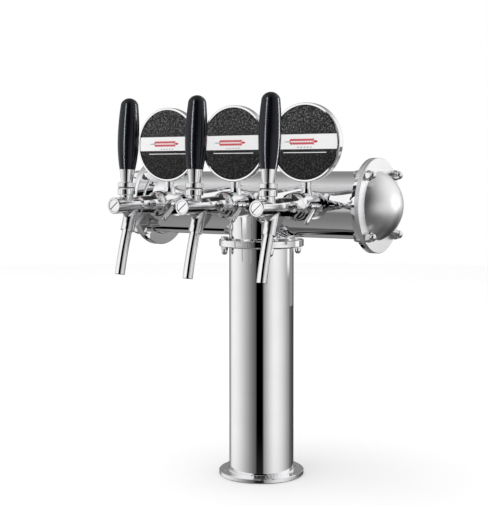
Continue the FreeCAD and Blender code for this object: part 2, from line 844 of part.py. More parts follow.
def make_tap_body(side, step):
    """One casting: bell, flare, barrel, lever boss, spout stub with its web, and flow boss."""
    body = new_body("tap_body_" + side)
    revolve(body, [
        (0.0, dim.bell_back),
        (dim.bell_radius - dim.bell_edge, dim.bell_back),
        (dim.bell_radius, dim.bell_back + dim.bell_edge),
        (dim.bell_radius, dim.bell_front, dim.shoulder_round),
        (dim.shoulder_radius, dim.shoulder_front, -dim.flare_round),
        (dim.flare_radius, dim.flare_front),
        (dim.waist_radius, dim.waist_front, -dim.waist_round),
        (dim.barrel_radius, dim.waist_front + dim.waist_run),
        (dim.barrel_radius, dim.barrel_front - dim.barrel_rim),
        (dim.barrel_radius - dim.barrel_rim, dim.barrel_front),
        (0.0, dim.barrel_front),
    ])
    boss = add_circle(sketch_on(body, "XZ_Plane"), 0.0, dim.lever_place, dim.boss_radius)
    raised = feature(body, "Pad", boss, Length=dim.boss_height, Reversed=True)
    barrel = DIMENSIONS["barrel_radius"]
    lever = DIMENSIONS["lever_place"]
    reach = 1.4 * DIMENSIONS["boss_radius"]
    blend(body, raised, dim.boss_blend, (barrel / 3, barrel), (lever - reach, lever + reach))
    stub = add_circle(sketch_on(body, "XY_Plane", stub_start, STUB_TURN), 0.0, 0.0, dim.stub_radius)
    raised = feature(body, "Pad", stub, Length=stub_length)
    outlet_place = DIMENSIONS["stub_mouth_place"]
    reach = DIMENSIONS["stub_radius"]
    blend(body, raised, dim.stub_blend, (-4 * barrel / 3, -barrel / 3),
          (outlet_place - 4 * reach, outlet_place + reach))
    web = draw(sketch_on(body, "YZ_Plane"), [
        (-dim.web_top, dim.web_back, -dim.web_hollow),
        (dim.web_foot - dim.stub_mouth_drop, dim.stub_mouth_place - dim.stub_radius),
        (-dim.web_top, dim.web_front),
    ])
    feature(body, "Pad", web, Length=dim.web_thickness, Midplane=True)
    flow = add_circle(sketch_on(body, "YZ_Plane"), -dim.flow_drop, dim.flow_place, dim.gland_radius)
    feature(body, "Pad", flow, Length=dim.gland_base)
    plug_boss = add_circle(sketch_on(body, "YZ_Plane"), 0.0, dim.side_plug_place,
                           dim.side_plug_radius + dim.side_plug_wall)
    feature(body, "Pad", plug_boss, Length=dim.side_plug_rim)

    revolve(body, [
        (0.0, dim.bell_back),
        (dim.shank_radius, dim.bell_back),
        (dim.shank_radius, dim.shank_front),
        (dim.chamber_radius, dim.shank_front),
        (dim.chamber_radius, dim.seat_back),
        (dim.seat_radius, dim.seat_back),
        (dim.seat_radius, dim.seat_front),
        (dim.piston_bore, dim.seat_front),
        (dim.piston_bore, dim.plug_thread_back),
        (dim.plug_thread_radius, dim.plug_thread_back),
        (dim.plug_thread_radius, dim.plug_seat),
        (dim.plug_radius + dim.plug_gap, dim.plug_seat),
        (dim.plug_radius + dim.plug_gap, dim.barrel_front),
        (0.0, dim.barrel_front),
    ], "Groove")
    seat_depth = dim.ball_height - dim.ball_radius - dim.ball_floor_gap
    ball_seat = add_circle(sketch_on(body, "XZ_Plane", -seat_depth), 0.0, dim.lever_place,
                           dim.ball_radius + dim.running_gap)
    feature(body, "Pocket", ball_seat, Length=dim.boss_height)
    slot_half_width = dim.tongue_radius + dim.tongue_gap
    slot_back = dim.lever_place - dim.tongue_slot_back
    slot_front = dim.lever_place + dim.tongue_slot_front
    slot = draw(sketch_on(body, "XZ_Plane"), [
        (-slot_half_width, slot_back),
        (slot_half_width, slot_back),
        (slot_half_width, slot_front),
        (-slot_half_width, slot_front),
    ])
    feature(body, "Pocket", slot, Length=dim.tongue_slot_height)
    outlet = add_circle(sketch_on(body, "XY_Plane", stub_start, STUB_TURN), 0.0, 0.0, dim.spout_bore)
    feature(body, "Pocket", outlet, Length=stub_length, Reversed=True)
    mouth = add_circle(sketch_on(body, "XY_Plane", dim.stub_mouth_place, STUB_TURN,
                                 (0.0, -dim.stub_mouth_drop)), 0.0, 0.0, dim.spout_radius)
    feature(body, "Pocket", mouth, Length=dim.spout_socket)
    spindle = add_circle(sketch_on(body, "YZ_Plane"), -dim.flow_drop, dim.flow_place,
                         dim.spindle_radius + dim.spindle_gap)
    feature(body, "Pocket", spindle, Length=dim.gland_base, Reversed=True)
    recess = add_circle(sketch_on(body, "YZ_Plane", dim.side_plug_floor), 0.0, dim.side_plug_place,
                        dim.side_plug_radius)
    feature(body, "Pocket", recess, Length=dim.side_plug_rim, Reversed=True)
    at_tap(body, step)
    finish(body, "tap_body_" + side)


def make_spout(side, step):
    """A gently bent tube, its upper end pushed into the stub. Local Z follows the beer."""
    ring_turn = FreeCAD.Rotation(FreeCAD.Vector(1, 1, 1), 120)
    walls = []
    for wall, radius in (("outside", dim.spout_radius), ("inside", dim.spout_bore)):
        bend = solid("Torus", "spout_%s_bend_%s" % (wall, side), Radius1=dim.spout_bend_radius,
                     Radius2=radius, Angle3=dim.spout_turn)
        place(bend, y=-dim.spout_bend_radius, rotation=ring_turn)
        straight = rod("spout_%s_straight_%s" % (wall, side), radius, dim.spout_socket,
                       z=-dim.spout_socket)
        walls.append(fuse("spout_%s_%s" % (wall, side), [bend, straight]))
    spout = cut("spout_" + side, walls[0], walls[1])
    down = FreeCAD.Rotation(X_AXIS, 180 - DIMENSIONS["spout_lean"])
    place(spout, step * dim.tap_pitch, -dim.stub_mouth_place,
          dim.cross_height - dim.stub_mouth_drop, down)
    finish(spout, "spout_" + side)


def make_piston(side, step):
    """Sliding valve: seal head behind the seat, stem through it, guide with the tongue's slot."""
    piston = new_body("piston_" + side)
    head = dim.seat_back - dim.running_gap
    tail = head - dim.seal_length
    seal = dim.chamber_radius - dim.seal_gap
    stem = dim.seat_radius - dim.stem_gap
    guide_back = dim.lever_place - dim.guide_back
    guide_front = dim.lever_place + dim.guide_front
    revolve(piston, [
        (0.0, tail),
        (seal, tail),
        (seal, head),
        (stem, head),
        (stem, guide_back),
        (dim.piston_radius, guide_back),
        (dim.piston_radius, guide_front),
        (0.0, guide_front),
    ])
    tip = dim.lever_place + dim.ball_height * sine(dim.lever_lean)
    half = dim.tongue_tip_radius + dim.running_gap
    floor = dim.tongue_tip_radius + dim.tongue_gap
    slot = draw(sketch_on(piston, "YZ_Plane"), [
        (-floor, tip - half),
        (dim.slot_waist, tip - half),
        (dim.slot_mouth, tip - half - dim.slot_back_spread),
        (dim.slot_mouth, tip + half + dim.slot_front_spread),
        (dim.slot_waist, tip + half),
        (-floor, tip + half),
    ])
    feature(piston, "Pocket", slot, Length=2 * half, Midplane=True)
    at_tap(piston, step)
    finish(piston, "piston_" + side)


def at_ball(thing, step, lean=0.0):
    """Moves a piece made about the lever's ball to its tap, leant back if asked."""
    return place(thing, step * dim.tap_pitch, -dim.lever_place, dim.cross_height + dim.ball_height,
                 FreeCAD.Rotation(X_AXIS, -lean))


def make_bonnet(side, step):
    """Round nut over the ball, its crown a sphere about the ball with a slot for the lever."""
    bonnet = new_body("bonnet_" + side)
    bottom = dim.bonnet_bottom - dim.ball_height
    shoulder = dim.bonnet_shoulder - dim.ball_height
    ledge = dim.boss_height - dim.ball_height
    crown = root(dim.bonnet_radius * dim.bonnet_radius + shoulder * shoulder)
    cup = dim.ball_radius + dim.running_gap
    revolve(bonnet, [
        (dim.boss_radius, bottom),
        (dim.bonnet_radius - dim.bonnet_edge, bottom),
        (dim.bonnet_radius, bottom + dim.bonnet_edge),
        (dim.bonnet_radius, shoulder, crown),
        (0.0, crown),
        (0.0, cup, -cup),
        (root(cup * cup - ledge * ledge), ledge),
        (dim.boss_radius, ledge),
    ])
    forward = dim.lever_travel - dim.lever_lean
    gap = dim.rod_radius + dim.running_gap
    above = dim.bonnet_slot_reach
    slot = draw(sketch_on(bonnet, "YZ_Plane"), [
        (gap, 0.0),
        (gap + above * sine(dim.lever_lean), above),
        (-gap - above * sine(forward), above),
        (-gap * cosine(forward) - above * sine(forward), above * cosine(forward) - gap * sine(forward)),
        (-gap * cosine(forward), -gap * sine(forward)),
    ])
    feature(bonnet, "Pocket", slot, Length=2 * gap, Midplane=True)
    at_ball(bonnet, step)
    return bonnet


def make_lever(side, step):
    """Steel rod with its ball, and the tongue below it that drives the piston."""
    parts = [
        solid("Sphere", "lever_ball_" + side, Radius=dim.ball_radius),
        rod("lever_rod_" + side, dim.rod_radius, dim.rod_top),
        rod("lever_tongue_" + side, dim.tongue_radius, dim.ball_height, z=-dim.ball_height),
        place(solid("Sphere", "lever_tip_" + side, Radius=dim.tongue_tip_radius), z=-dim.ball_height),
    ]
    finish(at_ball(fuse("lever_" + side, parts), step, DIMENSIONS["lever_lean"]), "lever_" + side)

    ring = new_body("lever_ring_" + side)
    dish = dim.lever_ring_bottom
    hollow = root(dim.bonnet_radius * dim.bonnet_radius
                  + (dim.bonnet_shoulder - dim.ball_height) * (dim.bonnet_shoulder - dim.ball_height))
    hollow = hollow + dim.running_gap
    revolve(ring, [
        (dim.rod_radius, root(hollow * hollow - dim.rod_radius * dim.rod_radius), -hollow),
        (root(hollow * hollow - dish * dish), dish),
        (dim.lever_ring_radius - dim.lever_ring_edge, dish),
        (dim.lever_ring_radius, dish + dim.lever_ring_edge),
        (dim.lever_ring_radius, dim.ferrule_bottom - dim.lever_ring_edge),
        (dim.lever_ring_radius - dim.lever_ring_edge, dim.ferrule_bottom),
        (dim.rod_radius, dim.ferrule_bottom),
    ])
    finish(at_ball(ring, step, DIMENSIONS["lever_lean"]), "lever_ring_" + side)

    ferrule = new_body("ferrule_" + side)
    revolve(ferrule, [
        (dim.rod_radius, dim.ferrule_bottom),
        (dim.ferrule_foot_radius, dim.ferrule_bottom),
        (dim.ferrule_head_radius, dim.handle_bottom),
        (dim.rod_radius, dim.handle_bottom),
    ])
    finish(at_ball(ferrule, step, DIMENSIONS["lever_lean"]), "ferrule_" + side)

    handle = new_body("handle_" + side)
    revolve(handle, [
        (dim.rod_radius, dim.handle_bottom),
        (dim.handle_foot_radius, dim.handle_bottom,
         bend_radius(dim.handle_belly - dim.handle_bottom,
                     dim.handle_belly_radius - dim.handle_foot_radius)),
        (dim.handle_belly_radius, dim.handle_belly,
         bend_radius(dim.handle_shoulder - dim.handle_belly,
                     dim.handle_belly_radius - dim.handle_shoulder_radius)),
        (dim.handle_shoulder_radius, dim.handle_shoulder,
         bend_radius(dim.handle_shoulder_radius, dim.handle_top - dim.handle_shoulder)),
        (0.0, dim.handle_top),
        (0.0, dim.rod_top),
        (dim.rod_radius, dim.rod_top),
    ])
    finish(at_ball(handle, step, DIMENSIONS["lever_lean"]), "handle_" + side)


def bend_radius(run, rise):
    """Radius of an arc that leaves level and rises this far over this run."""
    return (run * run + rise * rise) / (2 * rise)


def make_flow_control(side, step):
    """Side lever with its spindle and crank pin, and the cone that the pin moves."""
    x = step * dim.tap_pitch
    hub_start = dim.gland_end + dim.running_gap
    arm_x = (hub_start + dim.flow_hub_end) / 2
    down = FreeCAD.Rotation(X_AXIS, 90 + DIMENSIONS["flow_arm_drop"])
    arm = solid("Cone", "flow_arm_" + side, Radius1=dim.flow_arm_radius - dim.flow_arm_taper,
                Radius2=dim.flow_arm_radius + dim.flow_arm_taper, Height=dim.flow_arm_length)
    parts = [
        rod("flow_spindle_" + side, dim.spindle_radius,
            dim.flow_hub_end - dim.spindle_start, dim.spindle_start, rotation=TURN_TO_X),
        rod("flow_hub_" + side, dim.flow_hub_radius, dim.flow_hub_end - hub_start,
            hub_start, rotation=TURN_TO_X),
        rod("flow_cap_" + side, dim.flow_cap_radius, dim.flow_cap_end - dim.flow_hub_end,
            dim.flow_hub_end, rotation=TURN_TO_X),
        rod("flow_pin_" + side, dim.crank_radius, dim.spindle_start - dim.crank_start, dim.crank_start,
            -dim.crank_throw * sine(dim.crank_phase), dim.crank_throw * cosine(dim.crank_phase),
            TURN_TO_X),
        place(arm, arm_x, rotation=down),
        place(solid("Sphere", "flow_tip_" + side, Radius=dim.flow_arm_radius + dim.flow_arm_taper), arm_x,
              -dim.flow_arm_length * cosine(dim.flow_arm_drop),
              -dim.flow_arm_length * sine(dim.flow_arm_drop)),
    ]
    lever = fuse("flow_lever_" + side, parts)
    place(lever, x, -dim.flow_place, dim.cross_height - dim.flow_drop)
    finish(lever, "flow_lever_" + side)

    cone = new_body("flow_cone_" + side)
    groove = dim.flow_place + dim.crank_throw * sine(dim.crank_phase)
    half = dim.crank_radius + dim.crank_gap
    end = groove - half - dim.cone_flange
    shoulder = groove + half + dim.cone_tail
    nose = shoulder + dim.cone_length
    revolve(cone, [
        (0.0, end),
        (dim.cone_tail_radius, end),
        (dim.cone_tail_radius, groove - half),
        (dim.cone_neck_radius, groove - half),
        (dim.cone_neck_radius, groove + half),
        (dim.cone_tail_radius, groove + half),
        (dim.cone_tail_radius, shoulder),
        (dim.chamber_radius - dim.cone_gap, shoulder),
        (dim.cone_nose_radius, nose),
        (0.0, nose),
    ])
    at_tap(cone, step)
    finish(cone, "flow_cone_" + side)


def make_badge(side, step):
    """Round cup with a bright rim, and the printed disc set in its front."""
    housing = new_body("badge_housing_" + side)
    back = dim.badge_front - dim.badge_depth
    floor = dim.badge_front - dim.badge_recess
    ledge = dim.badge_face_radius - dim.badge_wall
    revolve(housing, [
        (0.0, back),
        (dim.badge_radius - dim.badge_back_round, back, dim.badge_back_round),
        (dim.badge_radius, back + dim.badge_back_round),
        (dim.badge_radius, dim.badge_front - dim.badge_rim_round, dim.badge_rim_round),
        (dim.badge_radius - dim.badge_rim_round, dim.badge_front),
        (dim.badge_face_radius, dim.badge_front),
        (dim.badge_face_radius, floor),
        (ledge, floor),
        (ledge, back + dim.badge_wall),
        (0.0, back + dim.badge_wall),
    ])
    face = new_body("badge_face_" + side)
    front = dim.badge_front - dim.badge_face_inset
    revolve(face, [
        (0.0, floor),
        (dim.badge_face_radius, floor),
        (dim.badge_face_radius, front),
        (0.0, front),
    ])
    for piece, label in ((housing, "badge_housing_"), (face, "badge_face_")):
        place(piece, step * dim.tap_pitch, 0.0, dim.cross_height + dim.badge_height, TURN_TO_TAP)
        finish(piece, label + side)


def make_badge_stem(side, step):
    """Collar round the shank with the post that carries the badge."""
    x = step * dim.tap_pitch
    width = dim.badge_collar_front - dim.collar_front
    post_top = dim.badge_height - dim.badge_radius + dim.badge_stem_sunk
    y = -dim.badge_stem_place
    parts = [
        rod("stem_collar_" + side, dim.badge_collar_radius, width,
            x, -dim.collar_front, dim.cross_height, TURN_TO_TAP),
        rod("stem_post_" + side, dim.badge_stem_radius, post_top, x, y, dim.cross_height),
        place(solid("Cone", "stem_flare_" + side,
                    Radius1=dim.badge_stem_radius + dim.stem_flare_spread,
                    Radius2=dim.badge_stem_radius, Height=dim.stem_flare_rise),
              x, y, dim.cross_height + dim.stem_flare_foot),
    ]
    holes = [
        rod("stem_hole_" + side, dim.shank_radius, dim.badge_collar_front,
            x, 0.0, dim.cross_height, TURN_TO_TAP),
        rod("stem_saddle_" + side, dim.badge_radius, 2 * dim.badge_front,
            x, 0.0, dim.cross_height + dim.badge_height, TURN_TO_TAP),
    ]
    return cut("badge_stem_" + side, fuse("stem_" + side, parts), fuse("stem_holes_" + side, holes))


def make_small_fittings():
    """Threaded fittings that every tap has alike, each kind in one node."""
    plugs = []
    side_plugs = []
    glands = []
    couplings = []
    for side, step in SIDES:
        x = step * dim.tap_pitch
        thread = rod("plug_thread_" + side, dim.plug_thread_radius, dim.plug_seat - dim.plug_thread_back,
                     z=dim.plug_thread_back)
        head_depth = dim.barrel_front - dim.plug_seat - dim.plug_recess
        head = rod("plug_head_" + side, dim.plug_radius, head_depth, z=dim.plug_seat)
        slot = solid("Box", "plug_slot_" + side, Length=4 * dim.plug_radius,
                     Width=dim.plug_slot_width, Height=2 * dim.plug_slot_depth)
        diagonal = FreeCAD.Rotation(Z_AXIS, DIMENSIONS["plug_slot_turn"])
        corner = diagonal.multVec(FreeCAD.Vector(-2 * DIMENSIONS["plug_radius"],
                                                 -DIMENSIONS["plug_slot_width"] / 2, 0))
        place(slot, corner.x, corner.y, dim.plug_seat + head_depth - dim.plug_slot_depth, diagonal)
        plug = cut("front_plug_" + side, fuse("plug_" + side, [thread, head]), slot)
        plugs.append(at_tap(plug, step))

        pin_holes = [rod("side_plug_pin_%s_%d" % (side, sign), dim.pin_hole_radius,
                         dim.side_plug_thickness, sign * dim.pin_hole_place, 0.0, dim.pin_hole_floor)
                     for sign in (-1, 1)]
        disc = rod("side_plug_disc_" + side, dim.side_plug_radius, dim.side_plug_thickness)
        side_plug = cut("side_plug_" + side, disc, fuse("side_plug_pins_" + side, pin_holes))
        plug_turn = TURN_TO_X * FreeCAD.Rotation(Z_AXIS, 90)
        side_plugs.append(place(side_plug, x + dim.side_plug_floor, -dim.side_plug_place,
                                dim.cross_height, plug_turn))

        gland = cut("gland_nut_" + side,
                    hexagon("gland_blank_" + side, dim.gland_flats, dim.gland_end - dim.gland_base),
                    rod("gland_bore_" + side, dim.spindle_radius + dim.spindle_gap, dim.gland_end))
        glands.append(place(gland, x + dim.gland_base, -dim.flow_place,
                            dim.cross_height - dim.flow_drop, TURN_TO_X))

        nut_length = dim.bell_back - dim.badge_collar_front
        coupling = cut("coupling_nut_" + side,
                       rod("coupling_blank_" + side, dim.collar_radius, nut_length),
                       rod("coupling_bore_" + side, dim.shank_radius, nut_length))
        couplings.append(place(coupling, x, -dim.badge_collar_front, dim.cross_height, TURN_TO_TAP))
    finish(group("front_plugs", plugs), "front_plugs")
    finish(group("side_plugs", side_plugs), "side_plugs")
    finish(group("gland_nuts", glands), "gland_nuts")
    finish(group("coupling_nuts", couplings), "coupling_nuts")


# ---------------------------------------------------------------- build, check and write

make_base()
make_column()
make_joint()
make_neck()
make_cross_tube()
make_ends()
make_joint_fasteners()
make_end_fasteners()
make_shanks()
make_product_tubes()
bonnets = []
stems = []
for side, step in SIDES:
    make_tap_body(side, step)
    make_spout(side, step)
    make_piston(side, step)
    bonnets.append(make_bonnet(side, step))
    make_lever(side, step)
    make_flow_control(side, step)
    make_badge(side, step)
    stems.append(make_badge_stem(side, step))
make_small_fittings()
finish(group("bonnets", bonnets), "bonnets")
finish(group("badge_stems", stems), "badge_stems")

document.recompute()
faults = [item.Name for item in document.Objects
          if "Invalid" in item.State or "Error" in item.State]
for piece in pieces:
    if piece.Shape.isNull() or not piece.Shape.isValid():
        faults.append(piece.Label)
if faults:
    raise RuntimeError("these objects did not build: " + ", ".join(faults))

os.makedirs("parts", exist_ok=True)
for piece in pieces:
    piece.Shape.exportStep(os.path.join("parts", piece.Label + ".step"))
    print(piece.Label, len(piece.Shape.Solids), round(piece.Shape.Volume, 1))
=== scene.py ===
import json
import math

import bmesh
import bpy
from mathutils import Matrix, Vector


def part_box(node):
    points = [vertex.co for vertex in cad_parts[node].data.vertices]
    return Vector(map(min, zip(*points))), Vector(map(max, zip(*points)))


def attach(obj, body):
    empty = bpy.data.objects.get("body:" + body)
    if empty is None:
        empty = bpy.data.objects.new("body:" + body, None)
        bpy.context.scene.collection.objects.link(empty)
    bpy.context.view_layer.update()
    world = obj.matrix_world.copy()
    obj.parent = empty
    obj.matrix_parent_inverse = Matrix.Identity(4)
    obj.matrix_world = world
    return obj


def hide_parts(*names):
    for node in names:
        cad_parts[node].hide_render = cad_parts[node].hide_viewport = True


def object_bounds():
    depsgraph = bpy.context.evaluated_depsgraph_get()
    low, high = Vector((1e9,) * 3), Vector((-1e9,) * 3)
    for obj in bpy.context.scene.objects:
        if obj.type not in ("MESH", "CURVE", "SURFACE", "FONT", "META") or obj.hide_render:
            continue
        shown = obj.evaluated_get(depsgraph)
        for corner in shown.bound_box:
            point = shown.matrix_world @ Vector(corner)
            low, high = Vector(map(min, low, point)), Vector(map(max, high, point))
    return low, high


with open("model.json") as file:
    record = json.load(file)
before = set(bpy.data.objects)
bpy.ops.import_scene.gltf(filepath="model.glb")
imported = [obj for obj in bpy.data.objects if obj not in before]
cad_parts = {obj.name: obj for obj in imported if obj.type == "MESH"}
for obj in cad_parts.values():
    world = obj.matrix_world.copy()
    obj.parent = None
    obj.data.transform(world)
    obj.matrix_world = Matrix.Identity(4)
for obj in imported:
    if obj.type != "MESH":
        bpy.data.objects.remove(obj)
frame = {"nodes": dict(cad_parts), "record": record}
cad_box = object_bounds()

MM = 0.001
SIDES = ("left", "middle", "right")
CAMERA_AZIMUTH = math.radians(32.16)
CAMERA_PITCH = math.radians(1.5)
CAMERA_PLACE = (0.684, -1.088, 0.357)
LENS = 77.3
SHIFT = (-0.0344, -0.1034)


# ---------------------------------------------------------------- node graphs

class Graph:
    """A small writer of shader nodes: each method adds a node and returns its output."""

    def __init__(self, tree):
        self.tree = tree
        self.tree.nodes.clear()

    def add(self, kind, inputs=None, **settings):
        node = self.tree.nodes.new(kind)
        for name, value in settings.items():
            setattr(node, name, value)
        for name, value in (inputs or {}).items():
            self.feed(node.inputs[name], value)
        return node

    def feed(self, socket, value):
        if isinstance(value, bpy.types.NodeSocket):
            self.tree.links.new(value, socket)
        elif socket.type == "RGBA" and isinstance(value, (int, float)):
            socket.default_value = (value, value, value, 1)
        else:
            socket.default_value = value

    def math(self, operation, *values):
        node = self.tree.nodes.new("ShaderNodeMath")
        node.operation = operation
        for socket, value in zip(node.inputs, values):
            self.feed(socket, value)
        return node.outputs[0]

    def dot(self, vector, direction):
        node = self.add("ShaderNodeVectorMath", operation="DOT_PRODUCT")
        self.feed(node.inputs[0], vector)
        node.inputs[1].default_value = direction
        return node.outputs["Value"]

    def between(self, value, start, end, low=0.0, high=1.0, kind="SMOOTHSTEP"):
        """low before start, high after end, and a smooth step from one to the other."""
        node = self.add("ShaderNodeMapRange", interpolation_type=kind, clamp=True)
        settings = {"Value": value, "From Min": start, "From Max": end, "To Min": low, "To Max": high}
        for name, setting in settings.items():
            self.feed(node.inputs[name], setting)
        return node.outputs["Result"]

    def mix(self, amount, first, second, blend="MIX"):
        node = self.add("ShaderNodeMix", data_type="RGBA", blend_type=blend)
        self.feed(node.inputs["Factor"], amount)
        self.feed(node.inputs["A"], first)
        self.feed(node.inputs["B"], second)
        return node.outputs["Result"]

    def ramp(self, value, stops):
        """stops are (place from 0 to 1, colour or grey level)."""
        node = self.add("ShaderNodeValToRGB", inputs={"Fac": value})
        elements = node.color_ramp.elements
        while len(elements) > 1:
            elements.remove(elements[-1])
        for i, (place, tone) in enumerate(stops):
            element = elements[0] if i == 0 else elements.new(place)
            element.position = place
            element.color = (*tone, 1) if isinstance(tone, tuple) else (tone, tone, tone, 1)
        return node.outputs["Color"]

    def noise(self, vector, scale, detail=3.0, roughness=0.5):
        inputs = {"Vector": vector, "Scale": scale, "Detail": detail, "Roughness": roughness}
        return self.add("ShaderNodeTexNoise", inputs=inputs).outputs["Fac"]


def linear(level):
    """A display level from 0 to 255 as the light that shows it."""
    value = level / 255
    return value / 12.92 if value <= 0.04045 else ((value + 0.055) / 1.055) ** 2.4


# ---------------------------------------------------------------- materials

def surface(name):
    material = bpy.data.materials.new(name)
    material.use_nodes = True
    graph = Graph(material.node_tree)
    shader = graph.add("ShaderNodeBsdfPrincipled")
    output = graph.add("ShaderNodeOutputMaterial")
    graph.tree.links.new(shader.outputs["BSDF"], output.inputs["Surface"])
    place = graph.add("ShaderNodeTexCoord").outputs["Object"]
    return material, graph, shader, place


def bump(graph, shader, height, distance, strength=1.0):
    inputs = {"Height": height, "Distance": distance, "Strength": strength}
    node = graph.add("ShaderNodeBump", inputs=inputs)
    graph.feed(shader.inputs["Normal"], node.outputs["Normal"])


def polished(name, tone, smooth, hazy, wave=0.0):
    """Mirror-polished metal, with a faint haze of wiping marks in the roughness
    and a slight waviness left by the polishing."""
    material, graph, shader, place = surface(name)
    cloud = graph.noise(place, 38.0, 4.0)
    speck = graph.noise(place, 900.0, 2.0)
    tint = graph.ramp(cloud, [(0.3, tuple(0.955 * c for c in tone)), (0.7, tone)])
    graph.feed(shader.inputs["Base Color"], tint)
    shader.inputs["Metallic"].default_value = 1.0
    haze = graph.between(cloud, 0.35, 0.75, smooth, hazy)
    fine = graph.between(speck, 0.62, 0.8, 0.0, 0.02)
    graph.feed(shader.inputs["Roughness"], graph.math("ADD", haze, fine))
    if wave:
        bump(graph, shader, graph.noise(place, 30.0, 1.0), wave)
    return material


def drawn_tube(name):
    """Drawn tube and turned pistons: fine lines along Z in the colour and roughness."""
    material, graph, shader, place = surface(name)
    stretched = graph.add("ShaderNodeMapping", inputs={"Vector": place, "Scale": (1.0, 1.0, 0.02)})
    lines = graph.noise(stretched.outputs["Vector"], 2500.0, 2.0)
    graph.feed(shader.inputs["Base Color"], graph.ramp(lines, [(0.3, 0.42), (0.7, 0.62)]))
    graph.feed(shader.inputs["Roughness"], graph.between(lines, 0.3, 0.7, 0.2, 0.34))
    shader.inputs["Metallic"].default_value = 1.0
    bump(graph, shader, lines, 0.00002)
    return material


def black_handle(name):
    """Moulded black phenolic, glossy, with a faint orange peel and a little dust."""
    material, graph, shader, place = surface(name)
    dust = graph.noise(place, 700.0, 3.0)
    tint = graph.ramp(dust, [(0.5, (0.002, 0.002, 0.003)), (0.85, (0.006, 0.006, 0.008))])
    graph.feed(shader.inputs["Base Color"], tint)
    handled = graph.noise(place, 60.0, 3.0)
    graph.feed(shader.inputs["Roughness"], graph.between(handled, 0.3, 0.7, 0.13, 0.18))
    shader.inputs["Specular IOR Level"].default_value = 0.35
    shader.inputs["Specular Tint"].default_value = (0.86, 0.9, 1.0, 1.0)
    bump(graph, shader, graph.noise(place, 420.0, 2.0), 0.00003)
    return material


def rubber(name):
    material, graph, shader, place = surface(name)
    grain = graph.noise(place, 1400.0, 4.0)
    graph.feed(shader.inputs["Base Color"], graph.ramp(grain, [(0.3, 0.012), (0.75, 0.035)]))
    graph.feed(shader.inputs["Roughness"], graph.between(grain, 0.3, 0.7, 0.6, 0.8))
    bump(graph, shader, grain, 0.00005)
    return material


def acetal(name):
    material, graph, shader, place = surface(name)
    rings = graph.noise(place, 800.0, 3.0)
    graph.feed(shader.inputs["Base Color"], graph.ramp(rings, [(0.3, 0.62), (0.7, 0.72)]))
    graph.feed(shader.inputs["Roughness"], graph.between(rings, 0.3, 0.7, 0.38, 0.5))
    bump(graph, shader, rings, 0.00002)
    return material


def badge_ground(name):
    """The speckled charcoal print of a badge, lighter towards its top: a painted sheen, where a shaded
    copy of the speckle blends into a lit copy higher up.
    """
    material, graph, shader, place = surface(name)
    coarse = graph.noise(place, 560.0, 2.0, 0.6)
    fine = graph.noise(place, 1500.0, 2.0, 0.6)
    speckle = graph.math("ADD", graph.math("MULTIPLY", coarse, 0.7), graph.math("MULTIPLY", fine, 0.3))
    # painted light: dark is a shaded copy of the speckle and light a lit copy of it; below they are
    # blended by height, so the badge is painted lit towards its top and shaded below
    dark = graph.ramp(speckle, [(0.43, 0.003), (0.50, 0.010), (0.57, 0.035), (0.64, 0.075)])
    light = graph.ramp(speckle, [(0.43, 0.006), (0.50, 0.028), (0.57, 0.095), (0.64, 0.19)])
    height = graph.add("ShaderNodeSeparateXYZ", inputs={"Vector": place}).outputs["Z"]
    graph.feed(shader.inputs["Base Color"], graph.mix(graph.between(height, 0.370, 0.412), dark, light))
    graph.feed(shader.inputs["Roughness"], graph.between(fine, 0.3, 0.7, 0.42, 0.55))
    shader.inputs["Specular IOR Level"].default_value = 0.25
    return material


def printed(name, tone):
    """A plain printed area of a badge, with the slight mottle of ink."""
    material, graph, shader, place = surface(name)
    mottle = graph.noise(place, 1500.0, 3.0)
    low = tuple(0.93 * c for c in tone)
    graph.feed(shader.inputs["Base Color"], graph.ramp(mottle, [(0.3, low), (0.7, tone)]))
    graph.feed(shader.inputs["Roughness"], graph.between(mottle, 0.3, 0.7, 0.35, 0.45))
    shader.inputs["Coat Weight"].default_value = 0.3
    return material


MATERIALS = {
    "tower_steel": polished("tower_steel", (0.93, 0.93, 0.94), 0.012, 0.035, 0.000004),
    "tap_chrome": polished("tap_chrome", (0.92, 0.92, 0.93), 0.06, 0.1),
    "fastener_steel": polished("fastener_steel", (0.86, 0.86, 0.87), 0.05, 0.11),
    "plain_steel": drawn_tube("plain_steel"),
    "cast_chrome": polished("cast_chrome", (0.92, 0.92, 0.93), 0.13, 0.18),
    "satin_steel": polished("satin_steel", (0.9, 0.9, 0.91), 0.36, 0.42),
    "black_handle": black_handle("black_handle"),
    "badge_print": badge_ground("badge_print"),
    "gasket_rubber": rubber("gasket_rubber"),
    "valve_plastic": acetal("valve_plastic"),
}
BAND_WHITE = printed("badge_band", (0.96, 0.96, 0.96))
MARK_RED = printed("badge_mark_red", (0.62, 0.02, 0.045))
MARK_GREY = printed("badge_mark_grey", (0.25, 0.25, 0.26))

FINISHES = {"end_cap": "satin_steel", "tap_body": "cast_chrome"}


def look_of(node, slot):
    """The material of a node: its slot's, unless its kind has a finish of its own."""
    for start, finish in FINISHES.items():
        if node.startswith(start):
            return MATERIALS[finish]
    return MATERIALS[slot]


slot_of = {part["node"]: part["material_slot"] for part in frame["record"]["subparts"]}
for name, node in frame["nodes"].items():
    node.data.materials.clear()
    node.data.materials.append(look_of(name, slot_of[name]))


# ---------------------------------------------------------------- studio

# the strengths of the studio's surroundings, as light
BLACK = 0.0
DARK_WALL = 0.06
GREY_WALL = 0.24
TABLE_FRONT = 0.1
TABLE_SIDE = 0.26
CEILING = 0.4
SOFT_BOX = 0.9
WHITE_PANEL = 0.95
FULL_WHITE = 1.0


